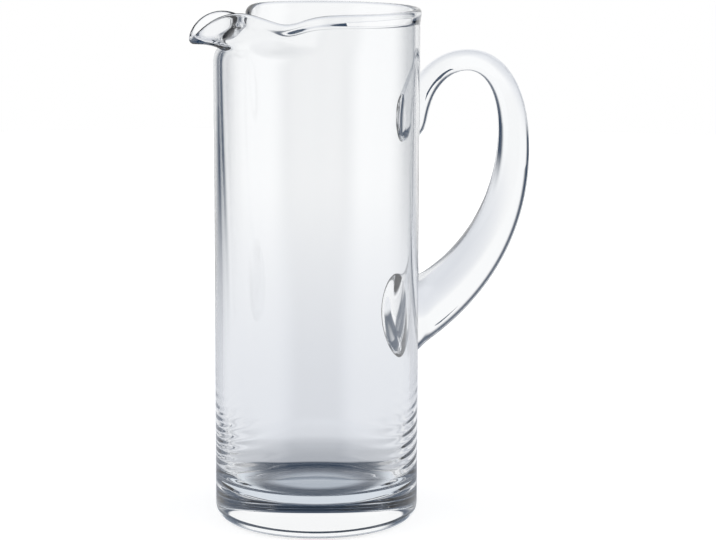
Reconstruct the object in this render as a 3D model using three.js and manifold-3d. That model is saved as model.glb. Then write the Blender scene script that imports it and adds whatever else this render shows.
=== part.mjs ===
// Hand-blown glass pitcher: a straight cylindrical vessel with a pinched pouring lip,
// and a handle of solid glass, thick at its lower root, that is sealed to the wall at both ends.
// Millimetres, +Z up. The origin is on the vessel's axis at its flat underside.
// The handle points to +X and the lip to -X.
import * as THREE from 'three';
import { mergeVertices } from 'three/addons/utils/BufferGeometryUtils.js';
import Module from 'manifold-3d';

// Vessel
const bodyDiameter = 100;
const bodyHeight = 252;
const wallThickness = 3.9;
const topWallThickness = 2.4;
const thickWallHeight = 90;
const floorThickness = 15;
const footRound = 7;
const floorRound = 14;
const rimThickness = 3.6;
const rimDepth = 6;

// Pouring lip: the top of the wall bends out at the lip, and in and part of the way back at each pinch
const lipDepth = 27;
const lipBendStart = 6.7;
const lipBendLength = 4;
const lipBend = 90;
const lipSpread = 9.8;
const lipStretch = 0.1;
const lipStretchSpread = 6.8;
const lipSink = 0.9;
const lipSinkSpread = 12;
const pinchBendLength = 11.5;
const pinchBend = 61;
const pinchAngle = 38.2;
const pinchSpread = 30;
const pinchReturn = 0.5;
const pinchReturnLength = 8.7;
const pinchRim = 7.1;

// Handle: heights are measured down from the rim, reaches out from the wall
const lowerRootDrop = 156.5;
const lowerRootReach = 26;
const lowerRootRise = 10;
const bellyReach = 62;
const bellyDrop = 70;
const bellyRunDown = 51;
const bellyRunUp = 23;
const crestReach = 33.5;
const crestDrop = 28.5;
const crestRunOut = 19;
const crestRunIn = 14;
const upperRootDrop = 68;
const upperRootReach = 5;
const upperRootRise = 30;
const lowerThickness = 33;
const crestThickness = 10.5;
const lowerWidth = 27;
const crestWidth = 13;
const taperPower = 1.25;
const lowerFlare = 7;
const lowerFlareRise = 1.4;
const lowerFlareWidth = 4;
const lowerFlareLength = 6;
const upperFlare = 7;
const upperFlareLength = 24;
const upperTipLength = 14;
const rootDepth = 15;
const sealGap = 0.3;

// Fineness of the faceted surfaces
const vesselSegments = 80;
const lipCrowding = 0.6;
const wallRows = 6;
const lipRows = 13;
const leanSteps = 40;
const roundSteps = 5;
const handleRings = 64;
const tipRings = 5;
const handleSides = 20;

const bodyRadius = bodyDiameter / 2;
const innerRadius = bodyRadius - wallThickness;
const rimRadius = rimThickness / 2;
const lipMiddle = bodyRadius - topWallThickness / 2;
const lipStart = bodyHeight - lipDepth;

const wasm = await Module();
wasm.setup();

// Add an arc to a profile, from one angle to another in degrees, both ends included.
function addArc(profile, centreX, centreY, radius, fromAngle, toAngle, steps) {
  for (let step = 0; step <= steps; step++) {
    const angle = THREE.MathUtils.degToRad(THREE.MathUtils.lerp(fromAngle, toAngle, step / steps));
    profile.push(new THREE.Vector2(centreX + radius * Math.cos(angle), centreY + radius * Math.sin(angle)));
  }
}

// Half the thickness of the lip and rim at a height: they swell into the fire-polished rim.
function halfLip(height) {
  const swell = THREE.MathUtils.smoothstep(height, bodyHeight - rimDepth - rimRadius, bodyHeight - rimRadius);
  return THREE.MathUtils.lerp(topWallThickness, rimThickness, swell) / 2;
}

// The inner radius of the wall at a height: it is thicker towards the base.
function wallInside(height) {
  const thin = THREE.MathUtils.smoothstep(height, thickWallHeight, lipStart);
  return innerRadius + (wallThickness - topWallThickness) * thin;
}

// Heights in even steps from one to another, the last left out.
function evenHeights(from, to, rows) {
  return Array.from({ length: rows }, (_, row) => THREE.MathUtils.lerp(from, to, row / rows));
}

// The turned profile of the vessel, from the centre of the underside to the centre of the floor.
function vesselProfile() {
  const rimBase = bodyHeight - rimRadius;
  const heights = evenHeights(lipStart, rimBase, lipRows);
  const profile = [new THREE.Vector2(0, 0)];
  addArc(profile, bodyRadius - footRound, footRound, footRound, -90, 0, roundSteps);
  for (const height of heights) {
    profile.push(new THREE.Vector2(lipMiddle + halfLip(height), height));
  }
  addArc(profile, lipMiddle, rimBase, rimRadius, 0, 180, roundSteps + 1);
  for (const height of heights.toReversed()) {
    profile.push(new THREE.Vector2(lipMiddle - halfLip(height), height));
  }
  for (const height of evenHeights(thickWallHeight, lipStart, wallRows).toReversed()) {
    profile.push(new THREE.Vector2(wallInside(height), height));
  }
  addArc(profile, innerRadius - floorRound, floorThickness + floorRound, floorRound, 0, -90, roundSteps);
  profile.push(new THREE.Vector2(0, floorThickness));
  return profile;
}

// A smooth bump that is 1 at no offset and fades away over its spread.
function bump(offset, spread) {
  return Math.exp(-((offset / spread) ** 2));
}

// How far the wall leans outwards, in radians, by length above the lip's start and angle from its middle.
function wallLean(along, angle) {
  const bend = THREE.MathUtils.smoothstep(along, lipBendStart, lipBendStart + lipBendLength);
  const lip = lipBend * bump(angle, lipSpread) * bend;
  const pinch = pinchBend * (bump(angle - pinchAngle, pinchSpread) + bump(angle + pinchAngle, pinchSpread));
  const returnEnd = lipDepth - pinchRim;
  const back = pinchReturn * THREE.MathUtils.smoothstep(along, returnEnd - pinchReturnLength, returnEnd);
  const lean = pinch * THREE.MathUtils.smoothstep(along, 0, pinchBendLength) * (1 - back);
  return THREE.MathUtils.degToRad(lip - lean);
}

// Bend the top of the wall at one angle from the lip, along its leaning middle line.
function bendWall(radius, height, around) {
  const lipAngle = THREE.MathUtils.radToDeg(around);
  const rise = Math.max(height - lipStart, 0);
  const sink = lipSink * bump(lipAngle, lipSinkSpread) * rise / lipDepth;
  const stretch = 1 + lipStretch * bump(lipAngle, lipStretchSpread);
  let out = 0;
  let up = 0;
  for (let step = 0; step < leanSteps; step++) {
    const along = rise * (step + 0.5) / leanSteps;
    const length = rise / leanSteps * (along > lipBendStart ? stretch : 1);
    out += Math.sin(wallLean(along, lipAngle)) * length;
    up += Math.cos(wallLean(along, lipAngle)) * length;
  }
  const lean = wallLean(rise, lipAngle);
  const fromMiddle = radius - lipMiddle;
  return {
    radius: lipMiddle + out + fromMiddle * Math.cos(lean),
    height: height - rise + up - sink - fromMiddle * Math.sin(lean),
  };
}

function makeVessel() {
  const geometry = new THREE.LatheGeometry(vesselProfile(), vesselSegments);
  geometry.rotateX(Math.PI / 2);
  const positions = geometry.getAttribute('position');
  const point = new THREE.Vector3();
  for (let index = 0; index < positions.count; index++) {
    point.fromBufferAttribute(positions, index);
    const even = Math.atan2(point.y, -point.x);
    const around = even - lipCrowding * Math.sin(even);
    const { radius, height } = bendWall(Math.hypot(point.x, point.y), point.z, around);
    positions.setXYZ(index, -radius * Math.cos(around), radius * Math.sin(around), height);
  }
  return geometry;
}

// A point on the handle's plane, from its distance out from the wall and its drop below the rim.
function handlePoint(reach, drop) {
  return new THREE.Vector3(bodyRadius + reach, 0, bodyHeight - drop);
}

// The handle's centre line: up from the lower root, round the belly, over the crest, down to the upper root.
function handlePath() {
  const root = handlePoint(0, lowerRootDrop);
  const rootAim = handlePoint(lowerRootReach, lowerRootDrop - lowerRootRise);
  const start = root.clone().sub(rootAim).setLength(rootDepth).add(root);
  const path = new THREE.CurvePath();
  path.add(new THREE.LineCurve3(start, root));
  path.add(new THREE.CubicBezierCurve3(
    root,
    rootAim,
    handlePoint(bellyReach, bellyDrop + bellyRunDown),
    handlePoint(bellyReach, bellyDrop)));
  path.add(new THREE.CubicBezierCurve3(
    handlePoint(bellyReach, bellyDrop),
    handlePoint(bellyReach, bellyDrop - bellyRunUp),
    handlePoint(crestReach + crestRunOut, crestDrop),
    handlePoint(crestReach, crestDrop)));
  path.add(new THREE.CubicBezierCurve3(
    handlePoint(crestReach, crestDrop),
    handlePoint(crestReach - crestRunIn, crestDrop),
    handlePoint(upperRootReach, upperRootDrop - upperRootRise),
    handlePoint(0, upperRootDrop)));
  return path;
}

// The handle's section along its centre line: it tapers to the crest and flares at the upper root.
function handleSection(distance, crestDistance, length) {
  const fromRoot = Math.max(distance - rootDepth, 0);
  const toEnd = length - distance;
  const taper = Math.max(1 - fromRoot / (crestDistance - rootDepth), 0) ** taperPower;
  const highFlare = bump(toEnd, upperFlareLength);
  const tip = Math.sqrt(1 - Math.max(1 - toEnd / upperTipLength, 0) ** 2);
  return {
    thick: tip * (THREE.MathUtils.lerp(crestThickness, lowerThickness, taper) + upperFlare * highFlare),
    wide: tip * THREE.MathUtils.lerp(crestWidth, lowerWidth, taper),
  };
}

// Distances of the handle's rings along its centre line: even, then closer together round the tip.
function ringDistances(length) {
  const tipStart = length - upperTipLength;
  const distances = [];
  for (let ring = 0; ring < handleRings; ring++) {
    distances.push(tipStart * ring / handleRings);
  }
  for (let ring = 0; ring < tipRings; ring++) {
    distances.push(tipStart + upperTipLength * Math.sin(ring / tipRings * Math.PI / 2));
  }
  return distances;
}

// A closed solid of oval rings along the handle's centre line, flared close to the wall at the lower root.
function sweepHandle() {
  const path = handlePath();
  const lengths = path.getCurveLengths();
  const crestDistance = lengths[2];
  const length = lengths[3];
  const vertices = [];
  const triangles = [];
  const distances = ringDistances(length);
  for (const distance of distances) {
    const centre = path.getPointAt(distance / length);
    const along = path.getTangentAt(distance / length);
    const { thick, wide } = handleSection(distance, crestDistance, length);
    for (let side = 0; side < handleSides; side++) {
      const angle = side / handleSides * 2 * Math.PI;
      const offWall = Math.max(centre.x + along.z * thick / 2 * Math.cos(angle) - bodyRadius, 0);
      const flare = distance < crestDistance / 2 ? bump(offWall, lowerFlareLength) : 0;
      const inPlane = (thick + lowerFlare * flare) / 2 * Math.cos(angle) - lowerFlareRise * flare;
      const across = (wide + lowerFlareWidth * flare) / 2 * Math.sin(angle);
      vertices.push(centre.x + along.z * inPlane, across, centre.z - along.x * inPlane);
    }
  }
  const rootCap = distances.length * handleSides;
  const tipCap = rootCap + 1;
  const lastRing = rootCap - handleSides;
  vertices.push(...path.getPointAt(0), ...path.getPointAt(1));
  for (let side = 0; side < handleSides; side++) {
    const next = (side + 1) % handleSides;
    for (let ring = 0; ring < lastRing; ring += handleSides) {
      const after = ring + handleSides;
      triangles.push(ring + side, ring + next, after + next);
      triangles.push(ring + side, after + next, after + side);
    }
    triangles.push(rootCap, next, side);
    triangles.push(tipCap, lastRing + side, lastRing + next);
  }
  const geometry = new THREE.BufferGeometry();
  geometry.setAttribute('position', new THREE.Float32BufferAttribute(vertices, 3));
  geometry.setIndex(triangles);
  return geometry;
}

function toSolid(geometry) {
  const bare = geometry.clone();
  bare.deleteAttribute('normal');
  bare.deleteAttribute('uv');
  const merged = mergeVertices(bare);
  return new wasm.Manifold(new wasm.Mesh({
    numProp: 3,
    vertProperties: new Float32Array(merged.getAttribute('position').array),
    triVerts: new Uint32Array(merged.getIndex().array),
  }));
}

function toGeometry(solid) {
  const mesh = solid.getMesh();
  const geometry = new THREE.BufferGeometry();
  geometry.setAttribute('position', new THREE.BufferAttribute(mesh.vertProperties, mesh.numProp));
  geometry.setIndex(new THREE.BufferAttribute(mesh.triVerts, 1));
  geometry.computeVertexNormals();
  return geometry;
}

// The handle ends on the outside of the vessel's wall, one seal gap away from it.
function makeHandle() {
  const wall = new THREE.CylinderGeometry(
    bodyRadius + sealGap, bodyRadius + sealGap, 2 * bodyHeight, 2 * vesselSegments);
  wall.rotateX(Math.PI / 2);
  return toGeometry(toSolid(sweepHandle()).subtract(toSolid(wall)));
}

function makePiece(name, geometry) {
  const glass = new THREE.MeshStandardMaterial({ color: 0xdfe6ea, roughness: 0.03, metalness: 0 });
  const mesh = new THREE.Mesh(geometry, glass);
  mesh.name = name;
  return mesh;
}

const pitcher = new THREE.Group();
pitcher.add(makePiece('vessel', makeVessel()));
pitcher.add(makePiece('handle', makeHandle()));

export default pitcher;
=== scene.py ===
# Looks of a hand-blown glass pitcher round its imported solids: glass, a pale stage, studio light and a camera.
# Shapes are in millimetres: the vessel's axis is Z, the handle is towards +X and the pouring lip towards -X.
import math

import bmesh
import bpy
import numpy as np
from mathutils import Matrix, Vector


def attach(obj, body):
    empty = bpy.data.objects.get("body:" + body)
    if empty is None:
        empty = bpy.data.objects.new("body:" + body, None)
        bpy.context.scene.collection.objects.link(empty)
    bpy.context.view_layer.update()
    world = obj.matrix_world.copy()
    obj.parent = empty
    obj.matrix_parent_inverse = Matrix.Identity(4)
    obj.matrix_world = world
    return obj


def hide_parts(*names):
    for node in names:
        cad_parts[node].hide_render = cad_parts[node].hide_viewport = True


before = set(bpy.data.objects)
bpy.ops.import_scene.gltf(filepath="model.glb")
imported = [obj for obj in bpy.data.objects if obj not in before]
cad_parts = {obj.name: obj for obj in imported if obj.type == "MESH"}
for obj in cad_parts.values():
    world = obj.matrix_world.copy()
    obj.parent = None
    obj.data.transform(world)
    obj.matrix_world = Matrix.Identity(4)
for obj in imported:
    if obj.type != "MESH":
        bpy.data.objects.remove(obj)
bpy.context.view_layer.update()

MM = 0.001

# Vessel
BODY_DIAMETER = 100
BODY_HEIGHT = 252
WALL_THICKNESS = 3.9
TOP_WALL_THICKNESS = 2.4
THICK_WALL_HEIGHT = 90
FLOOR_THICKNESS = 15
FOOT_ROUND = 7
FLOOR_ROUND = 14
RIM_THICKNESS = 3.6
RIM_DEPTH = 6

# Pouring lip: the top of the wall bends out over the lip, in at a pinch on each side, and partly back again
LIP_DEPTH = 27
LIP_BEND_START = 6.7
LIP_BEND_LENGTH = 4
LIP_BEND = 90
LIP_SPREAD = 9.8
LIP_STRETCH = 0.1
LIP_STRETCH_SPREAD = 6.8
LIP_SINK = 0.9
LIP_SINK_SPREAD = 12
PINCH_BEND_LENGTH = 11.5
PINCH_BEND = 61
PINCH_ANGLE = 38.2
PINCH_SPREAD = 30
PINCH_RETURN = 0.5
PINCH_RETURN_LENGTH = 8.7
PINCH_RIM = 7.1

# Handle: drops are measured down from the rim, reaches out from the wall
LOWER_ROOT_DROP = 156.5
LOWER_ROOT_REACH = 26
LOWER_ROOT_RISE = 10
BELLY_REACH = 62
BELLY_DROP = 70
BELLY_RUN_DOWN = 51
BELLY_RUN_UP = 23
CREST_REACH = 33.5
CREST_DROP = 28.5
CREST_RUN_OUT = 19
CREST_RUN_IN = 14
UPPER_ROOT_DROP = 68
UPPER_ROOT_REACH = 5
UPPER_ROOT_RISE = 30
LOWER_THICKNESS = 33
CREST_THICKNESS = 10.5
LOWER_WIDTH = 27
CREST_WIDTH = 13
TAPER_POWER = 1.25
LOWER_FLARE = 7
LOWER_FLARE_RISE = 1.4
LOWER_FLARE_WIDTH = 4
LOWER_FLARE_LENGTH = 6
UPPER_FLARE = 7
UPPER_FLARE_LENGTH = 24
UPPER_TIP_LENGTH = 14
ROOT_DEPTH = 15
SEAL_GAP = 0.05

# Slow rings that the blowing left on the inside of the wall above the floor
WAVE_DEPTH = 0.3
WAVE_LENGTH = 5.5
WAVE_HEIGHT = 36
WAVE_SPREAD = 18
WAVE_START = (22, 32)
WAVE_TILT = 2.5
WAVE_FOLDS = (2, 3)
WAVE_SHIFT = 1
WAVE_TURN = 28
WAVE_NARROWING = 4

# Fineness of the meshes
COLUMNS = 288
LIP_CROWDING = 0.6
FLAT_ROWS = 8
ROUND_STEPS = 40
WALL_ROWS = 75
WAVE_ROWS = 120
LIP_ROWS = 40
LEAN_STEPS = 40
SEAL_MARGIN = 5
SEAL_RINGS = 6
PATH_STEPS = 300
TRIM_STEPS = 1500
HANDLE_RINGS = 150
HANDLE_SIDES = 72
WELD_DISTANCE = 0.0001

# Clear glass: each piece has two tints that drift into each other, and a faint relief
GLASS_INDEX = 1.5
VESSEL_TINTS = ((0.99, 0.993, 0.995), (0.982, 0.987, 0.99))
HANDLE_TINTS = ((0.985, 0.99, 0.993), (0.975, 0.983, 0.99))
TINT_SCALE = 14
TINT_DETAIL = 2
RELIEF_SCALE = 30
RELIEF_DETAIL = 1
RELIEF_DEPTH = 0.03

# Camera
VIEW_TURN = 28
VIEW_TILT = 10.15
VIEW_ROLL = 0.2
CAMERA_RIGHT = 20.3
CAMERA_BACK = 1200
CAMERA_HEIGHT = 338.5
CAMERA_LENS = 124.83
SENSOR_WIDTH = 36
CLIP_START = 0.01
CLIP_END = 50

# Soft lamps, in metres, turned in degrees from the camera's side
SOFTBOX_DISTANCE = 0.8
SOFTBOX_HEIGHT = 0.9
SOFTBOX_MIDDLE = 0.4
SOFTBOX_BRIGHTNESS = 1.2
LEFT_SOFTBOX_TURN = -77
LEFT_SOFTBOX_WIDTH = 0.9
RIGHT_SOFTBOX_TURN = 75
RIGHT_SOFTBOX_WIDTH = 0.8

# Light paths: how long they are followed, and the counts that part them by reflections and by surfaces
MOST_BOUNCES = 32
MOST_REFLECTIONS = 12
ANY_REFLECTION = 0.5
MANY_REFLECTIONS = 1.5
BOTH_WALLS = 2.5

# Floor as the camera sees it, white further out, with distances from the axis in metres
FLOOR_RADIUS = 1.6
FLOOR_CORNERS = 96
FLOOR_DROP = 0.5
FLOOR_COLOUR = (0.5, 0.5, 0.5)
FLOOR_LIFT = (0.72, 0.72, 0.72)
FLOOR_CLEAR = (0.25, 0.7)

# Floor as the glass sees it, all painted light and shade: a painted shadow round a grey oval of painted light
# under the base, then painted shade that pales with distance
FLOOR_PAINTED_SHADOW = (0.005, 0.024, 0.056)
FLOOR_PAINTED_LIGHT = (0.7, 0.75, 0.81)
FLOOR_LIGHT_POOL = (0.445, 0.5, 0.575)
OVAL_BACK = 0.015
OVAL_EDGE = (0.03, 0.016)
FLOOR_CLOSE_SHADE = (0.45, 0.47, 0.51)
FLOOR_NEAR = (0.76, 0.78, 0.825)
FLOOR_FAR = (0.99, 0.995, 1.0)
FLOOR_SHADE = (0.056, 0.06)
FLOOR_SIDES = (0.046, 0.026)
FLOOR_RISE = (0.05, 0.2)
FLOOR_FADE = (0.15, 1.1)

# Room that shows straight through the glass, and its dark fields: angles in degrees, starts in metres
ROOM_LOW = (0.99, 0.995, 1.0)
ROOM_HIGH = (1.0, 1.0, 1.0)
ROOM_RISE = (0, 30)
CONE = (30, 42, 57, 61)
CONE_INSET = 6
CONE_START = (0.5, 0.9)
LEFT_SHADE = (-19, -17.5, -15.5, -12.8)
LEFT_SHADE_LOW = 0.92
LEFT_SHADE_HIGH = 0.4
LEFT_SHADE_LIFT = (6, 2)
SHADE_START = (0.35, 1.25)
HIGH_GAP = (8, 14, 50, 55)
DARK_CEILING = (50, 60)

# Studio that shows in reflections: a pale backdrop and two soft lamps with dark gaps between them
STUDIO_DARK = (0.02, 0.045, 0.088)
STUDIO_FADE = (0.3, 1.1)
BACKDROP_LOW = (-40, -20, 33, 40)
BACKDROP_HIGH = (-52, -47, 47, 52)
BACKDROP_TOP = (38, 33)
BACKDROP_STEP = (11, 14)
FAR_SHARE = 0.45
FAR_LIFT = (2, 7)
FAR_GAP = (-10, -4, 16, 26)
LAMPS = (54, 82, 124, 152)
LAMP_COLOUR = (0.95, 0.955, 0.965)
LAMP_TOP = (48, 62)
FRONT = (138, 158)
FRONT_COLOUR = (0.35, 0.355, 0.37)
DEEP_SHADE = 0.9

# Dark card behind the mouth, which paints shade into light seen straight through the rim: place and size in
# millimetres, and the shortest light that shows it in metres
CARD_RIGHT = -47
CARD_BACK = 500
CARD_HEIGHT = 311
CARD_SIZE = (125, 178)
CARD_REACH = 0.48

BODY_RADIUS = BODY_DIAMETER / 2
INNER_RADIUS = BODY_RADIUS - WALL_THICKNESS
RIM_RADIUS = RIM_THICKNESS / 2
LIP_MIDDLE = BODY_RADIUS - TOP_WALL_THICKNESS / 2
LIP_START = BODY_HEIGHT - LIP_DEPTH


def bump(offset, spread):
    """A smooth bump that is 1 at no offset and fades away over its spread."""
    return np.exp(-((offset / spread) ** 2))


def smooth_step(value, low, high):
    """A share that rises smoothly from 0 at a low value to 1 at a high one."""
    share = np.clip((value - low) / (high - low), 0, 1)
    return share * share * (3 - 2 * share)


def arc(centre_radius, centre_height, radius, start, end):
    """Points of an arc in the vessel's section, from one angle to another in degrees, both ends included."""
    turn = np.radians(np.linspace(start, end, ROUND_STEPS + 1))
    return np.column_stack((centre_radius + radius * np.cos(turn), centre_height + radius * np.sin(turn)))


def half_lip(height):
    """Half the thickness of the lip and rim at a height: they swell into the fire-polished rim."""
    swell = smooth_step(height, BODY_HEIGHT - RIM_DEPTH - RIM_RADIUS, BODY_HEIGHT - RIM_RADIUS)
    return (TOP_WALL_THICKNESS + (RIM_THICKNESS - TOP_WALL_THICKNESS) * swell) / 2


def wall_inside(height):
    """The inner radius of the wall at a height: it is thicker towards the base."""
    thin = smooth_step(height, THICK_WALL_HEIGHT, LIP_START)
    return INNER_RADIUS + (WALL_THICKNESS - TOP_WALL_THICKNESS) * thin


def vessel_profile():
    """The vessel's section from the middle of its underside to that of its floor, and its first wall row."""
    rim_base = BODY_HEIGHT - RIM_RADIUS
    floor_top = FLOOR_THICKNESS + FLOOR_ROUND
    outer = np.linspace(FOOT_ROUND, LIP_START, WALL_ROWS + 1)[1:]
    upper = np.linspace(LIP_START, THICK_WALL_HEIGHT, WALL_ROWS + 1)[:-1]
    lower = np.linspace(THICK_WALL_HEIGHT, floor_top, WAVE_ROWS + 1)[:-1]
    inner = np.concatenate((upper, lower))
    lip = np.linspace(LIP_START, rim_base, LIP_ROWS + 1)[1:-1]
    under = np.linspace(0, BODY_RADIUS - FOOT_ROUND, FLAT_ROWS + 1)[:-1]
    floor = np.linspace(INNER_RADIUS - FLOOR_ROUND, 0, FLAT_ROWS + 1)[1:]
    foot = arc(BODY_RADIUS - FOOT_ROUND, FOOT_ROUND, FOOT_ROUND, -90, 0)
    profile = np.concatenate((
        np.column_stack((under, np.zeros(FLAT_ROWS))),
        foot,
        np.column_stack((np.full(WALL_ROWS, BODY_RADIUS), outer)),
        np.column_stack((LIP_MIDDLE + half_lip(lip), lip)),
        arc(LIP_MIDDLE, rim_base, RIM_RADIUS, 0, 180),
        np.column_stack((LIP_MIDDLE - half_lip(lip), lip))[::-1],
        np.column_stack((wall_inside(inner), inner)),
        arc(INNER_RADIUS - FLOOR_ROUND, floor_top, FLOOR_ROUND, 0, -90),
        np.column_stack((floor, np.full(FLAT_ROWS, FLOOR_THICKNESS))),
    ))
    return profile, FLAT_ROWS + len(foot)


def blown_waves(radius, height, around):
    """How far the slow rings inside the wall stand out, at a place on the section and an angle round it."""
    inside = (radius > INNER_RADIUS - FLOOR_ROUND) & (radius < BODY_RADIUS - TOP_WALL_THICKNESS / 2)
    first, second = WAVE_FOLDS
    tilt = WAVE_TILT * np.sin(first * around) + WAVE_TILT * np.sin(second * around + WAVE_SHIFT)
    turn = 2 * math.pi * height / WAVE_LENGTH + tilt
    side = np.cos(around - math.radians(WAVE_TURN)) ** WAVE_NARROWING
    swell = bump(height - WAVE_HEIGHT, WAVE_SPREAD) * smooth_step(height, *WAVE_START)
    return inside * WAVE_DEPTH * side * swell * np.sin(turn)


def wall_lean(rise, around):
    """How far the wall leans outwards, in radians, at a rise above the lip's start and an angle from it."""
    angle = np.degrees(around)
    bent = smooth_step(rise, LIP_BEND_START, LIP_BEND_START + LIP_BEND_LENGTH)
    lip = LIP_BEND * bump(angle, LIP_SPREAD) * bent
    pinch = PINCH_BEND * (bump(angle - PINCH_ANGLE, PINCH_SPREAD) + bump(angle + PINCH_ANGLE, PINCH_SPREAD))
    return_end = LIP_DEPTH - PINCH_RIM
    back = PINCH_RETURN * smooth_step(rise, return_end - PINCH_RETURN_LENGTH, return_end)
    return np.radians(lip - pinch * smooth_step(rise, 0, PINCH_BEND_LENGTH) * (1 - back))


def bend_wall(radius, height, around):
    """Bend the top of the wall at each angle from the lip, along its leaning middle line."""
    rise = np.maximum(height - LIP_START, 0)
    angle = np.degrees(around)
    sink = LIP_SINK * bump(angle, LIP_SINK_SPREAD) * rise / LIP_DEPTH
    stretch = LIP_STRETCH * bump(angle, LIP_STRETCH_SPREAD)
    out, up = 0, 0
    for step in range(LEAN_STEPS):
        along = rise * (step + 0.5) / LEAN_STEPS
        lean = wall_lean(along, around)
        length = rise / LEAN_STEPS * (1 + stretch * (along > LIP_BEND_START))
        out = out + np.sin(lean) * length
        up = up + np.cos(lean) * length
    lean = wall_lean(rise, around)
    from_middle = radius - LIP_MIDDLE
    bent_radius = LIP_MIDDLE + out + from_middle * np.cos(lean)
    bent_height = height - rise + up - sink - from_middle * np.sin(lean)
    return bent_radius, bent_height


def on_wall(sideways, height, radius):
    """A point at a distance sideways round the wall from the handle's plane."""
    return radius * math.cos(sideways / BODY_RADIUS), radius * math.sin(sideways / BODY_RADIUS), height


def root_outline(points):
    """The closed edge of a root, unrolled from the wall: its middle, and its reach by direction."""
    sideways = BODY_RADIUS * np.arctan2(points[:, 1], points[:, 0])
    middle = (points[:, 2].min() + points[:, 2].max()) / 2
    direction = np.arctan2(points[:, 2] - middle, sideways)
    order = np.argsort(direction)
    return middle, direction[order], np.hypot(sideways, points[:, 2] - middle)[order]


def add_rings(vertices, faces, border, rings, sealed, radius):
    """Join rings of unrolled wall points to a border, close them at the middle, and flag the seal."""
    seal = []
    last = list(border)
    for depth, ring in enumerate(rings):
        first = len(vertices)
        vertices.extend(on_wall(sideways, height, radius) for sideways, height in ring)
        this = list(range(first, first + len(ring)))
        for k in range(len(ring)):
            after = (k + 1) % len(ring)
            faces.append((last[k], last[after], this[after], this[k]))
            seal.append(depth >= sealed)
        last = this
    vertices.append(on_wall(*rings[-1].mean(0), radius))
    for k in range(len(last)):
        faces.append((last[k], last[(k + 1) % len(last)], len(vertices) - 1))
        seal.append(True)
    return seal


def vessel_mesh(roots):
    """Vertices, faces and seal flags of the vessel, with each root's seal cut into the wall as faces."""
    profile, wall_start = vessel_profile()
    even = np.linspace(-math.pi, math.pi, COLUMNS, endpoint=False)
    around = even - LIP_CROWDING * np.sin(even)
    waves = blown_waves(profile[:, :1], profile[:, 1:], around)
    radius, height = bend_wall(profile[:, :1] + waves, profile[:, 1:], around)
    grid = np.stack((-radius * np.cos(around), radius * np.sin(around), height), axis=-1)
    sideways = BODY_RADIUS * np.arctan2(grid[wall_start, :, 1], grid[wall_start, :, 0])
    wall_heights = profile[wall_start:wall_start + WALL_ROWS, 1]
    vertices = [tuple(point) for point in grid.reshape(-1, 3)]
    faces, seal, taken = [], [], set()
    for points in roots:
        middle, direction, reach = root_outline(points)
        half_wide = (reach * np.abs(np.cos(direction))).max() + SEAL_MARGIN
        half_high = (reach * np.abs(np.sin(direction))).max() + SEAL_MARGIN
        wide = int(np.count_nonzero(np.abs(sideways) < half_wide) // 2 + 1)
        low = wall_start + int(np.searchsorted(wall_heights, middle - half_high)) - 1
        high = wall_start + int(np.searchsorted(wall_heights, middle + half_high))
        border = [(low, column) for column in range(-wide, wide)]
        border += [(row, wide) for row in range(low, high)]
        border += [(high, column) for column in range(wide, -wide, -1)]
        border += [(row, -wide) for row in range(high, low, -1)]
        taken.update((row, column % COLUMNS) for row in range(low, high) for column in range(-wide, wide))
        edge = np.array([(sideways[column % COLUMNS], profile[row, 1]) for row, column in border])
        away = np.arctan2(edge[:, 1] - middle, edge[:, 0])
        length = np.interp(away, direction, reach, period=2 * math.pi)
        outline = np.column_stack((length * np.cos(away), length * np.sin(away)))
        edge[:, 1] -= middle
        rings = [edge + (outline - edge) * step / SEAL_RINGS for step in range(1, SEAL_RINGS + 1)]
        rings += [outline * (1 - step / SEAL_RINGS) for step in range(1, SEAL_RINGS)]
        rings = [ring + (0, middle) for ring in rings]
        border = [row * COLUMNS + column % COLUMNS for row, column in border]
        seal += add_rings(vertices, faces, border, rings, SEAL_RINGS, BODY_RADIUS)
    for row in range(len(profile) - 1):
        for column in range(COLUMNS):
            if (row, column) not in taken:
                after = (column + 1) % COLUMNS
                here, above = row * COLUMNS, (row + 1) * COLUMNS
                faces.append((here + column, here + after, above + after, above + column))
                seal.append(False)
    return vertices, faces, seal


def handle_point(reach, drop):
    """A point on the handle's plane, from its distance out from the wall and its drop below the rim."""
    return np.array((BODY_RADIUS + reach, BODY_HEIGHT - drop))


def bezier(start, leave, arrive, end):
    """Points along a curve, without its start, from its ends and the points it leaves and arrives by."""
    t = np.linspace(0, 1, PATH_STEPS + 1)[1:, None]
    return (1 - t) ** 3 * start + 3 * (1 - t) ** 2 * t * leave + 3 * (1 - t) * t ** 2 * arrive + t ** 3 * end


def handle_path():
    """Points along the handle's centre line, their distances along it, and the distance to the crest."""
    root = handle_point(0, LOWER_ROOT_DROP)
    root_aim = handle_point(LOWER_ROOT_REACH, LOWER_ROOT_DROP - LOWER_ROOT_RISE)
    belly = handle_point(BELLY_REACH, BELLY_DROP)
    crest = handle_point(CREST_REACH, CREST_DROP)
    end = handle_point(0, UPPER_ROOT_DROP)
    inwards = (root - root_aim) / np.linalg.norm(root - root_aim) * ROOT_DEPTH
    line = root + inwards * np.linspace(1, 0, PATH_STEPS)[:, None]
    up = bezier(root, root_aim, handle_point(BELLY_REACH, BELLY_DROP + BELLY_RUN_DOWN), belly)
    over = bezier(belly, handle_point(BELLY_REACH, BELLY_DROP - BELLY_RUN_UP),
                  handle_point(CREST_REACH + CREST_RUN_OUT, CREST_DROP), crest)
    down = bezier(crest, handle_point(CREST_REACH - CREST_RUN_IN, CREST_DROP),
                  handle_point(UPPER_ROOT_REACH, UPPER_ROOT_DROP - UPPER_ROOT_RISE), end)
    points = np.concatenate((line, up, over, down))
    distances = np.concatenate(([0], np.cumsum(np.linalg.norm(np.diff(points, axis=0), axis=1))))
    return points, distances, distances[3 * PATH_STEPS - 1]


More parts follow.
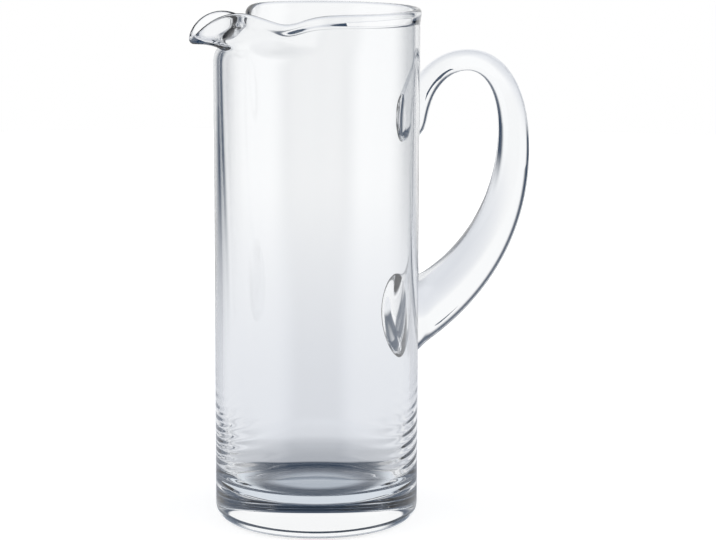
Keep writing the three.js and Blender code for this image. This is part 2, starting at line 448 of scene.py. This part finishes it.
def handle_surface(path, distance, angle):
    """Points of the handle's surface at distances along its centre line and angles round its oval section."""
    points, distances, crest_distance = path
    from_root = np.maximum(distance - ROOT_DEPTH, 0)
    to_end = distances[-1] - distance
    taper = np.maximum(1 - from_root / (crest_distance - ROOT_DEPTH), 0) ** TAPER_POWER
    high_flare = bump(to_end, UPPER_FLARE_LENGTH)
    tip = np.sqrt(1 - np.maximum(1 - to_end / UPPER_TIP_LENGTH, 0) ** 2)
    slope = np.gradient(points, distances, axis=0)
    slope /= np.linalg.norm(slope, axis=1)[:, None]
    centre_x, centre_z, along_x, along_z = (
        np.interp(distance, distances, values) for values in (*points.T, *slope.T))
    thick = CREST_THICKNESS + (LOWER_THICKNESS - CREST_THICKNESS) * taper
    wide = CREST_WIDTH + (LOWER_WIDTH - CREST_WIDTH) * taper
    off_wall = np.maximum(centre_x + along_z * thick / 2 * np.cos(angle) - BODY_RADIUS, 0)
    low_flare = bump(off_wall, LOWER_FLARE_LENGTH) * (distance < crest_distance / 2)
    thick = tip * (thick + LOWER_FLARE * low_flare + UPPER_FLARE * high_flare)
    wide = tip * (wide + LOWER_FLARE_WIDTH * low_flare)
    in_plane = thick / 2 * np.cos(angle) - LOWER_FLARE_RISE * low_flare
    out, sideways, up = centre_x + along_z * in_plane, wide / 2 * np.sin(angle), centre_z - along_x * in_plane
    return np.stack((out, sideways, up), axis=-1)


def handle_mesh():
    """Vertices, faces and seal flags of the handle, trimmed at the wall, and the edges of its two roots."""
    path = handle_path()
    length, crest_distance = path[1][-1], path[2]
    angle = np.linspace(0, 2 * math.pi, HANDLE_SIDES, endpoint=False)
    tried = np.linspace(0, length, TRIM_STEPS)[:, None]
    surface = handle_surface(path, tried, angle)
    clear = np.hypot(surface[..., 0], surface[..., 1]) - BODY_RADIUS - SEAL_GAP
    inside = clear < 0
    before = np.where(inside & (tried < crest_distance / 2), np.arange(TRIM_STEPS)[:, None], 0).max(0)
    after = np.where(inside & (tried > crest_distance), np.arange(TRIM_STEPS)[:, None], TRIM_STEPS - 1).min(0)
    sides = np.arange(HANDLE_SIDES)
    leave = crossing(tried[:, 0], clear, before, before + 1, sides)
    arrive = crossing(tried[:, 0], clear, after - 1, after, sides)
    even = np.linspace(0, 1, HANDLE_RINGS)
    spaced = ((1 - np.cos(math.pi * even)) / 2 + even)[:, None] / 2
    rings = handle_surface(path, leave + (arrive - leave) * spaced, angle)
    vertices = [tuple(point) for point in rings.reshape(-1, 3)]
    faces = []
    for ring in range(HANDLE_RINGS - 1):
        for side in range(HANDLE_SIDES):
            here, there = ring * HANDLE_SIDES, (ring + 1) * HANDLE_SIDES
            after_side = (side + 1) % HANDLE_SIDES
            faces.append((here + side, here + after_side, there + after_side, there + side))
    seal = [False] * len(faces)
    for end in (0, HANDLE_RINGS - 1):
        edge = rings[end]
        flat = np.column_stack((BODY_RADIUS * np.arctan2(edge[:, 1], edge[:, 0]), edge[:, 2]))
        middle = np.array((0, (flat[:, 1].min() + flat[:, 1].max()) / 2))
        inner = [middle + (flat - middle) * (1 - step / SEAL_RINGS) for step in range(1, SEAL_RINGS)]
        border = range(end * HANDLE_SIDES, (end + 1) * HANDLE_SIDES)
        seal += add_rings(vertices, faces, border, inner, 0, BODY_RADIUS + SEAL_GAP)
    return (vertices, faces, seal), (rings[0], rings[-1])


def crossing(tried, clear, low, high, sides):
    """The distance at which each side of the handle meets the wall, between two tried distances."""
    start, end = clear[low, sides], clear[high, sides]
    share = np.clip(start / (start - end), 0, 1)
    return tried[low] + (tried[high] - tried[low]) * share


def make_piece(name, node, mesh_data, glass, seal):
    """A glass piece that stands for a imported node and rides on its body."""
    vertices, faces, sealed = mesh_data
    mesh = bpy.data.meshes.new(name)
    mesh.from_pydata([Vector(vertex) * MM for vertex in vertices], [], faces)
    mesh.materials.append(glass)
    mesh.materials.append(seal)
    mesh.polygons.foreach_set("material_index", [int(flag) for flag in sealed])
    mesh.polygons.foreach_set("use_smooth", [not flag for flag in sealed])
    shape = bmesh.new()
    shape.from_mesh(mesh)
    bmesh.ops.remove_doubles(shape, verts=shape.verts, dist=WELD_DISTANCE * MM)
    bmesh.ops.recalc_face_normals(shape, faces=shape.faces)
    shape.to_mesh(mesh)
    shape.free()
    piece = bpy.data.objects.new(name, mesh)
    bpy.context.scene.collection.objects.link(piece)
    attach(piece, "root")
    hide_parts(node)


def add_node(tree, kind, links=None, **values):
    """A shader node with settings by name, and its inputs linked or set by name."""
    node = tree.nodes.new(kind)
    for name, value in values.items():
        setattr(node, name, value)
    for name, value in (links or {}).items():
        socket = node.inputs[name]
        if isinstance(value, bpy.types.NodeSocket):
            tree.links.new(value, socket)
        else:
            socket.default_value = value
    return node


def new_material(name):
    """An empty node material and its tree."""
    material = bpy.data.materials.new(name)
    material.use_nodes = True
    material.node_tree.nodes.clear()
    return material, material.node_tree


def glass_material(name, tints):
    """Clear glass with a faint tint that drifts over it, and the slow waves of a hand-blown surface."""
    material, tree = new_material(name)
    place = add_node(tree, "ShaderNodeTexCoord").outputs["Object"]
    drift = add_node(tree, "ShaderNodeTexNoise", {
        "Vector": place, "Scale": TINT_SCALE, "Detail": TINT_DETAIL})
    waves = add_node(tree, "ShaderNodeTexNoise", {
        "Vector": place, "Scale": RELIEF_SCALE, "Detail": RELIEF_DETAIL})
    relief = add_node(tree, "ShaderNodeBump", {
        "Height": waves.outputs["Fac"], "Strength": 1.0, "Distance": RELIEF_DEPTH * MM})
    surface = add_node(tree, "ShaderNodeBsdfPrincipled", {
        "Base Color": mix_colour(tree, drift.outputs["Fac"], *tints),
        "Roughness": 0.0,
        "IOR": GLASS_INDEX,
        "Transmission Weight": 1.0,
        "Normal": relief.outputs["Normal"],
    })
    add_node(tree, "ShaderNodeOutputMaterial", {"Surface": surface.outputs["BSDF"]})
    return material


def seal_material():
    """The fused seam between handle and wall, where light goes straight on from glass to glass."""
    material, tree = new_material("fused_seal")
    surface = add_node(tree, "ShaderNodeBsdfTransparent")
    add_node(tree, "ShaderNodeOutputMaterial", {"Surface": surface.outputs["BSDF"]})
    return material


def math_node(tree, operation, *values):
    """The result of a math node, with its inputs linked or set in order."""
    node = tree.nodes.new("ShaderNodeMath")
    node.operation = operation
    for socket, value in zip(node.inputs, values):
        if isinstance(value, bpy.types.NodeSocket):
            tree.links.new(value, socket)
        else:
            socket.default_value = value
    return node.outputs[0]


def product(tree, *shares):
    """Shares multiplied together."""
    total = shares[0]
    for share in shares[1:]:
        total = math_node(tree, "MULTIPLY", total, share)
    return total


def rest_of(tree, share):
    """What a share leaves of 1."""
    return math_node(tree, "SUBTRACT", 1.0, share)


def larger(tree, first, second):
    """The larger of two shares."""
    return math_node(tree, "MAXIMUM", first, second)


def fade(tree, value, start, end):
    """A smooth fade from 0 at the start to 1 at the end."""
    node = add_node(tree, "ShaderNodeMapRange", {"Value": value, "From Min": start, "From Max": end},
                    interpolation_type="SMOOTHSTEP")
    return node.outputs["Result"]


def mix_colour(tree, share, first, second):
    """A colour between two others, each linked or set."""
    node = add_node(tree, "ShaderNodeMix", {"Factor": share}, data_type="RGBA")
    for name, value in (("A", first), ("B", second)):
        socket = [s for s in node.inputs if s.name == name and s.type == "RGBA"][0]
        if isinstance(value, bpy.types.NodeSocket):
            tree.links.new(value, socket)
        else:
            socket.default_value = (*value, 1)
    return [s for s in node.outputs if s.type == "RGBA"][0]


def band(tree, value, rise_start, rise_end, fall_start, fall_end):
    """A share that fades in to 1 and out again as a value grows."""
    rise = fade(tree, value, rise_start, rise_end)
    return product(tree, rise, fade(tree, value, fall_end, fall_start))


def turn_from_view(tree, place):
    """The turn of a place or direction from the view's way out, in degrees to the right, and its parts."""
    turn = (0, 0, math.radians(VIEW_TURN))
    turned = add_node(tree, "ShaderNodeMapping", {"Vector": place, "Rotation": turn})
    parts = add_node(tree, "ShaderNodeSeparateXYZ", {"Vector": turned.outputs["Vector"]}).outputs
    return math_node(tree, "DEGREES", math_node(tree, "ARCTAN2", parts["X"], parts["Y"])), parts


def in_reflections(tree):
    """1 for light that the glass has reflected on its way, 0 for light that went straight through."""
    path = add_node(tree, "ShaderNodeLightPath").outputs
    return math_node(tree, "GREATER_THAN", path["Glossy Depth"], ANY_REFLECTION)


def through_walls(tree):
    """1 for light that came through both sides of the hollow body, 0 for the rest."""
    path = add_node(tree, "ShaderNodeLightPath").outputs
    return math_node(tree, "GREATER_THAN", path["Transmission Depth"], BOTH_WALLS)


def deep_in_glass(tree):
    """How dark the painted shade is for light that solid glass has reflected more than once, as in the base."""
    path = add_node(tree, "ShaderNodeLightPath").outputs
    deep = math_node(tree, "GREATER_THAN", path["Glossy Depth"], MANY_REFLECTIONS)
    return product(tree, deep, rest_of(tree, through_walls(tree)), DEEP_SHADE)


def dark_cone(tree, place):
    """A dark ring round the way out of the view, which draws the edges of solid glass; the body sees less."""
    way = add_node(tree, "ShaderNodeVectorMath", {0: place}, operation="NORMALIZE").outputs["Vector"]
    out = add_node(tree, "ShaderNodeVectorMath", {0: way, 1: view_axes()[1]}, operation="DOT_PRODUCT")
    angle = math_node(tree, "DEGREES", math_node(tree, "ARCCOSINE", out.outputs["Value"]))
    inset = product(tree, through_walls(tree), CONE_INSET)
    outer = fade(tree, math_node(tree, "ADD", angle, inset), CONE[3], CONE[2])
    return product(tree, fade(tree, angle, CONE[0], CONE[1]), outer)


def studio_sides(tree, side, dark):
    """What reflections see round the studio, over a dark gap: a soft lamp on each side and a dim front."""
    off = math_node(tree, "ABSOLUTE", side)
    lamps = mix_colour(tree, band(tree, off, *LAMPS), dark, LAMP_COLOUR)
    return mix_colour(tree, fade(tree, off, *FRONT), lamps, FRONT_COLOUR)


def floor_material():
    """A pale matte floor: white to the camera, with the pitcher's shadow; the glass sees painted light and
    shade on it, which shades off with distance.
    """
    material, tree = new_material("pale_floor")
    is_camera = add_node(tree, "ShaderNodeLightPath").outputs["Is Camera Ray"]
    place = add_node(tree, "ShaderNodeTexCoord").outputs["Object"]
    away = add_node(tree, "ShaderNodeVectorMath", {0: place}, operation="LENGTH").outputs["Value"]
    side, parts = turn_from_view(tree, place)
    # Painted shade close to the pitcher, paling towards the far floor
    close = mix_colour(tree, fade(tree, away, *FLOOR_RISE), FLOOR_CLOSE_SHADE, FLOOR_NEAR)
    # Under the base: a painted shadow round a grey oval of painted light, with painted light to either side
    right, ahead = view_axes()
    from_oval = add_node(tree, "ShaderNodeVectorMath", {0: place, 1: ahead * OVAL_BACK}, operation="DISTANCE")
    oval = fade(tree, from_oval.outputs["Value"], *OVAL_EDGE)
    under = mix_colour(tree, oval, FLOOR_PAINTED_SHADOW, FLOOR_LIGHT_POOL)
    middle = fade(tree, math_node(tree, "ABSOLUTE", parts["X"]), *FLOOR_SIDES)
    under = mix_colour(tree, middle, FLOOR_PAINTED_LIGHT, under)
    near = mix_colour(tree, fade(tree, away, *FLOOR_SHADE), under, close)
    seen = mix_colour(tree, fade(tree, away, *FLOOR_FADE), near, FLOOR_FAR)

    # In reflections the floor shows painted dark gaps, painted soft lamps and a dim front, and painted shade
    # for light deep in the glass
    beside = product(tree, rest_of(tree, band(tree, side, *BACKDROP_LOW)), fade(tree, away, *STUDIO_FADE))
    gap = mix_colour(tree, beside, seen, STUDIO_DARK)
    walls, start = through_walls(tree), fade(tree, away, *SHADE_START)
    far_gap = product(tree, band(tree, side, *FAR_GAP), walls, start)
    sides = mix_colour(tree, far_gap, studio_sides(tree, side, gap), STUDIO_DARK)
    sides = mix_colour(tree, deep_in_glass(tree), sides, STUDIO_DARK)
    # Right under the base, reflections see painted light on the floor
    studio = mix_colour(tree, fade(tree, away, *FLOOR_SHADE), FLOOR_PAINTED_LIGHT, sides)

    # Straight through the glass the floor shows a painted dark ring and a painted shade to one side, which draw
    # the glass's edges
    cone = product(tree, dark_cone(tree, place), fade(tree, away, *CONE_START))
    to_wall = right * BODY_RADIUS * MM
    from_wall = add_node(tree, "ShaderNodeVectorMath", {0: place, 1: to_wall}, operation="ADD")
    wall_side, _ = turn_from_view(tree, from_wall.outputs["Vector"])
    shade = product(tree, band(tree, wall_side, *LEFT_SHADE), walls, start, LEFT_SHADE_LOW)
    through = mix_colour(tree, larger(tree, cone, shade), seen, STUDIO_DARK)

    # The glass sees this painted light and shade as the floor's own light
    shown = mix_colour(tree, in_reflections(tree), through, studio)
    painted_glow = add_node(tree, "ShaderNodeEmission", {"Color": shown})
    matte = add_node(tree, "ShaderNodeBsdfDiffuse", {"Color": (*FLOOR_COLOUR, 1)})
    white = mix_colour(tree, fade(tree, away, *FLOOR_CLEAR), FLOOR_LIFT, (1, 1, 1))
    lift = add_node(tree, "ShaderNodeEmission", {"Color": white})
    both = add_node(tree, "ShaderNodeAddShader", {0: matte.outputs["BSDF"], 1: lift.outputs["Emission"]})
    surface = add_node(tree, "ShaderNodeMixShader", {
        0: is_camera, 1: painted_glow.outputs["Emission"], 2: both.outputs["Shader"]})
    add_node(tree, "ShaderNodeOutputMaterial", {"Surface": surface.outputs["Shader"]})
    return material


def make_floor():
    """A wide round floor just under the pitcher."""
    mesh = bpy.data.meshes.new("floor")
    shape = bmesh.new()
    bmesh.ops.create_circle(shape, cap_ends=True, segments=FLOOR_CORNERS, radius=FLOOR_RADIUS)
    shape.to_mesh(mesh)
    shape.free()
    mesh.materials.append(floor_material())
    floor = bpy.data.objects.new("floor", mesh)
    floor.location.z = -FLOOR_DROP * MM
    bpy.context.scene.collection.objects.link(floor)


def make_card():
    """A dark card behind the mouth, a painted shade unseen by the camera, diffuse light and shadows, which
    shows only straight through the near side of the rim.
    """
    material, tree = new_material("painted_shade_card")
    straight = rest_of(tree, larger(tree, in_reflections(tree), through_walls(tree)))
    length = add_node(tree, "ShaderNodeLightPath").outputs["Ray Length"]
    share = product(tree, straight, math_node(tree, "GREATER_THAN", length, CARD_REACH))
    clear = add_node(tree, "ShaderNodeBsdfTransparent")
    dark = add_node(tree, "ShaderNodeEmission", {"Color": (*STUDIO_DARK, 1)})
    surface = add_node(tree, "ShaderNodeMixShader", {
        0: share, 1: clear.outputs["BSDF"], 2: dark.outputs["Emission"]})
    add_node(tree, "ShaderNodeOutputMaterial", {"Surface": surface.outputs["Shader"]})
    right, away = view_axes()
    mesh = bpy.data.meshes.new("painted_shade_card")
    middle = right * CARD_RIGHT + away * CARD_BACK + Vector((0, 0, CARD_HEIGHT))
    across, up = right * CARD_SIZE[0] / 2, Vector((0, 0, CARD_SIZE[1] / 2))
    corners = (middle - across - up, middle + across - up, middle + across + up, middle - across + up)
    mesh.from_pydata([corner * MM for corner in corners], [], [(0, 1, 2, 3)])
    mesh.materials.append(material)
    card = bpy.data.objects.new("painted_shade_card", mesh)
    card.visible_camera = False
    card.visible_diffuse = False
    card.visible_shadow = False
    bpy.context.scene.collection.objects.link(card)


def make_world():
    """White to the camera. Through the glass it is a pale room with dark fields; in reflections, a studio."""
    world = bpy.data.worlds.new("studio")
    world.use_nodes = True
    tree = world.node_tree
    tree.nodes.clear()
    place = add_node(tree, "ShaderNodeTexCoord").outputs["Generated"]
    side, parts = turn_from_view(tree, place)
    lift = math_node(tree, "DEGREES", math_node(tree, "ARCSINE", parts["Z"]))
    path = add_node(tree, "ShaderNodeLightPath").outputs
    room = mix_colour(tree, fade(tree, lift, *ROOM_RISE), ROOM_LOW, ROOM_HIGH)

    share = add_node(tree, "ShaderNodeMapRange", {
        "Value": fade(tree, lift, *LEFT_SHADE_LIFT), "To Min": LEFT_SHADE_HIGH, "To Max": LEFT_SHADE_LOW})
    left = product(tree, band(tree, side, *LEFT_SHADE), share.outputs["Result"])
    walls = through_walls(tree)
    hollow = product(tree, larger(tree, left, band(tree, lift, *HIGH_GAP)), walls)
    dark = larger(tree, dark_cone(tree, place), hollow)
    dark = larger(tree, dark, fade(tree, lift, *DARK_CEILING))
    through = mix_colour(tree, dark, room, STUDIO_DARK)

    low, high = band(tree, side, *BACKDROP_LOW), band(tree, side, *BACKDROP_HIGH)
    above = fade(tree, lift, *BACKDROP_STEP)
    backdrop = math_node(tree, "ADD", product(tree, high, above), product(tree, low, rest_of(tree, above)))
    raised = fade(tree, lift, *FAR_LIFT)
    far_gap = product(tree, band(tree, side, *FAR_GAP), rest_of(tree, raised))
    dimmed = product(tree, larger(tree, product(tree, raised, 1 - FAR_SHARE), far_gap), walls)
    backdrop = product(tree, backdrop, fade(tree, lift, *BACKDROP_TOP), rest_of(tree, dimmed))
    studio = studio_sides(tree, side, mix_colour(tree, backdrop, STUDIO_DARK, room))
    studio = mix_colour(tree, fade(tree, lift, *LAMP_TOP), studio, STUDIO_DARK)
    studio = mix_colour(tree, deep_in_glass(tree), studio, STUDIO_DARK)

    seen = mix_colour(tree, in_reflections(tree), through, studio)
    shown = mix_colour(tree, path["Is Camera Ray"], seen, (1, 1, 1))
    light = add_node(tree, "ShaderNodeBackground", {"Color": shown, "Strength": 1.0})
    add_node(tree, "ShaderNodeOutputWorld", {"Surface": light.outputs["Background"]})
    bpy.context.scene.world = world


def view_axes():
    """The directions to the right of the view and away along it, on the floor."""
    turn = math.radians(VIEW_TURN)
    return Vector((math.cos(turn), -math.sin(turn), 0)), Vector((math.sin(turn), math.cos(turn), 0))


def make_softbox(name, turn, width):
    """A large soft lamp at a turn from the camera's side of the pitcher, facing it."""
    right, away = view_axes()
    lamp = bpy.data.lights.new(name, "AREA")
    lamp.shape = "RECTANGLE"
    lamp.size = width
    lamp.size_y = SOFTBOX_HEIGHT
    lamp.energy = SOFTBOX_BRIGHTNESS * width * SOFTBOX_HEIGHT * math.pi
    box = bpy.data.objects.new(name, lamp)
    angle = math.radians(turn)
    aside = right * math.sin(angle) - away * math.cos(angle)
    box.location = aside * SOFTBOX_DISTANCE + Vector((0, 0, SOFTBOX_MIDDLE))
    to_object = Vector((-box.location.x, -box.location.y, 0))
    box.rotation_euler = to_object.to_track_quat("-Z", "Y").to_euler()
    box.visible_camera = False
    box.visible_glossy = False
    box.visible_transmission = False
    bpy.context.scene.collection.objects.link(box)


def make_camera():
    """The camera at the photograph's place, turned, tilted and rolled as it was."""
    right, away = view_axes()
    camera = bpy.data.objects.new("camera", bpy.data.cameras.new("camera"))
    camera.data.sensor_width = SENSOR_WIDTH
    camera.data.lens = CAMERA_LENS
    camera.data.clip_start = CLIP_START
    camera.data.clip_end = CLIP_END
    place = (right * CAMERA_RIGHT - away * CAMERA_BACK + Vector((0, 0, CAMERA_HEIGHT))) * MM
    turn = Matrix.Rotation(math.radians(-VIEW_TURN), 4, "Z")
    tilt = Matrix.Rotation(math.radians(90 - VIEW_TILT), 4, "X")
    roll = Matrix.Rotation(math.radians(VIEW_ROLL), 4, "Z")
    camera.matrix_world = Matrix.Translation(place) @ turn @ tilt @ roll
    bpy.context.scene.collection.objects.link(camera)
    bpy.context.scene.camera = camera


seal = seal_material()
handle_data, roots = handle_mesh()
vessel_data = vessel_mesh(roots)
make_piece("vessel_glass", "vessel", vessel_data, glass_material("vessel_clear_glass", VESSEL_TINTS), seal)
make_piece("handle_glass", "handle", handle_data, glass_material("handle_clear_glass", HANDLE_TINTS), seal)

make_floor()
make_card()
make_world()
make_softbox("softbox_left", LEFT_SOFTBOX_TURN, LEFT_SOFTBOX_WIDTH)
make_softbox("softbox_right", RIGHT_SOFTBOX_TURN, RIGHT_SOFTBOX_WIDTH)
make_camera()

scene = bpy.context.scene
scene.view_settings.view_transform = "Standard"
scene.cycles.max_bounces = MOST_BOUNCES
scene.cycles.transmission_bounces = MOST_BOUNCES
scene.cycles.glossy_bounces = MOST_REFLECTIONS
scene.cycles.transparent_max_bounces = MOST_BOUNCES
